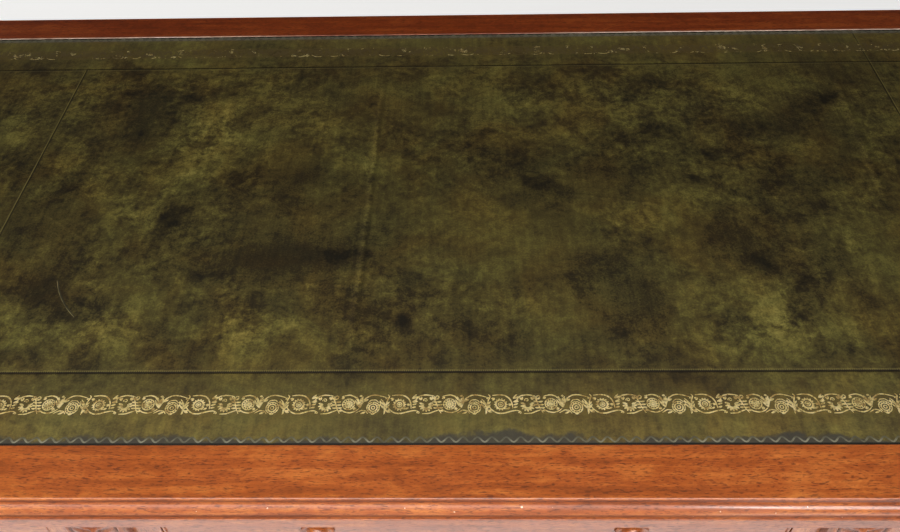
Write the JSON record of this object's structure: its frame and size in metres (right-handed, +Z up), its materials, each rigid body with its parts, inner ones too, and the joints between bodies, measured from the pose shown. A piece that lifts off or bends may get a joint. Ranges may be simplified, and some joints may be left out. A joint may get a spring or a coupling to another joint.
{
  "type": "pedestal desk",
  "caption": "Mahogany twin pedestal writing desk with a gold-tooled leather top, moulded edge, frieze drawers, graduated pedestal drawers with turned knobs, and plinths.",
  "frame": {"origin": "on the floor under the middle of the top", "axes": "+X along the length, to the sitter's right; +Y from the drawer side to the back; +Z up"},
  "size_m": [1.98, 0.925, 0.79],
  "materials": {
    "mahogany": "polished reddish-brown mahogany",
    "leather": "mottled dark olive-green hide with a dull gloss",
    "drawer_lining": "plain waxed oak",
    "secondary_wood": "plain sawn pine",
    "brass": "aged lacquered brass"
  },
  "bodies": {
    "carcase": {"frieze_back": "mahogany", "frieze_corbels": "mahogany", "frieze_drawer_guides": "secondary_wood", "frieze_dust_board": "mahogany", "frieze_ends": "mahogany", "frieze_stiles": "mahogany", "frieze_top_rails": "mahogany", "leather_centre_panel": "leather", "leather_left_panel": "leather", "leather_right_panel": "leather", "left_pedestal_back": "mahogany", "left_pedestal_boards": "mahogany", "left_pedestal_drawer_guides": "secondary_wood", "left_pedestal_inner_side": "mahogany", "left_pedestal_outer_side": "mahogany", "left_pedestal_pilasters": "mahogany", "left_pedestal_plinth": "mahogany", "right_pedestal_back": "mahogany", "right_pedestal_boards": "mahogany", "right_pedestal_drawer_guides": "secondary_wood", "right_pedestal_inner_side": "mahogany", "right_pedestal_outer_side": "mahogany", "right_pedestal_pilasters": "mahogany", "right_pedestal_plinth": "mahogany", "top_border_back": "mahogany", "top_border_front": "mahogany", "top_border_left": "mahogany", "top_border_right": "mahogany", "top_build_up_strips": "mahogany", "top_core_board": "secondary_wood"},
    "frieze_left_drawer": {"frieze_left_drawer_box": "drawer_lining", "frieze_left_drawer_front": "mahogany", "frieze_left_drawer_knobs": "mahogany", "frieze_left_drawer_lock": "brass"},
    "frieze_centre_drawer": {"frieze_centre_drawer_box": "drawer_lining", "frieze_centre_drawer_front": "mahogany", "frieze_centre_drawer_knobs": "mahogany", "frieze_centre_drawer_lock": "brass"},
    "frieze_right_drawer": {"frieze_right_drawer_box": "drawer_lining", "frieze_right_drawer_front": "mahogany", "frieze_right_drawer_knobs": "mahogany", "frieze_right_drawer_lock": "brass"},
    "left_upper_drawer": {"left_upper_drawer_box": "drawer_lining", "left_upper_drawer_front": "mahogany", "left_upper_drawer_knobs": "mahogany"},
    "left_middle_drawer": {"left_middle_drawer_box": "drawer_lining", "left_middle_drawer_front": "mahogany", "left_middle_drawer_knobs": "mahogany"},
    "left_lower_drawer": {"left_lower_drawer_box": "drawer_lining", "left_lower_drawer_front": "mahogany", "left_lower_drawer_knobs": "mahogany"},
    "right_upper_drawer": {"right_upper_drawer_box": "drawer_lining", "right_upper_drawer_front": "mahogany", "right_upper_drawer_knobs": "mahogany"},
    "right_middle_drawer": {"right_middle_drawer_box": "drawer_lining", "right_middle_drawer_front": "mahogany", "right_middle_drawer_knobs": "mahogany"},
    "right_lower_drawer": {"right_lower_drawer_box": "drawer_lining", "right_lower_drawer_front": "mahogany", "right_lower_drawer_knobs": "mahogany"}
  },
  "joints": [
    {"name": "frieze_left_drawer_slide", "type": "slide", "parent": "carcase", "child": "frieze_left_drawer", "axis": [0, -1, 0], "range_m": [0, 0.5]},
    {"name": "frieze_centre_drawer_slide", "type": "slide", "parent": "carcase", "child": "frieze_centre_drawer", "axis": [0, -1, 0], "range_m": [0, 0.5]},
    {"name": "frieze_right_drawer_slide", "type": "slide", "parent": "carcase", "child": "frieze_right_drawer", "axis": [0, -1, 0], "range_m": [0, 0.5]},
    {"name": "left_upper_drawer_slide", "type": "slide", "parent": "carcase", "child": "left_upper_drawer", "axis": [0, -1, 0], "range_m": [0, 0.5]},
    {"name": "left_middle_drawer_slide", "type": "slide", "parent": "carcase", "child": "left_middle_drawer", "axis": [0, -1, 0], "range_m": [0, 0.5]},
    {"name": "left_lower_drawer_slide", "type": "slide", "parent": "carcase", "child": "left_lower_drawer", "axis": [0, -1, 0], "range_m": [0, 0.5]},
    {"name": "right_upper_drawer_slide", "type": "slide", "parent": "carcase", "child": "right_upper_drawer", "axis": [0, -1, 0], "range_m": [0, 0.5]},
    {"name": "right_middle_drawer_slide", "type": "slide", "parent": "carcase", "child": "right_middle_drawer", "axis": [0, -1, 0], "range_m": [0, 0.5]},
    {"name": "right_lower_drawer_slide", "type": "slide", "parent": "carcase", "child": "right_lower_drawer", "axis": [0, -1, 0], "range_m": [0, 0.5]}
  ]
}
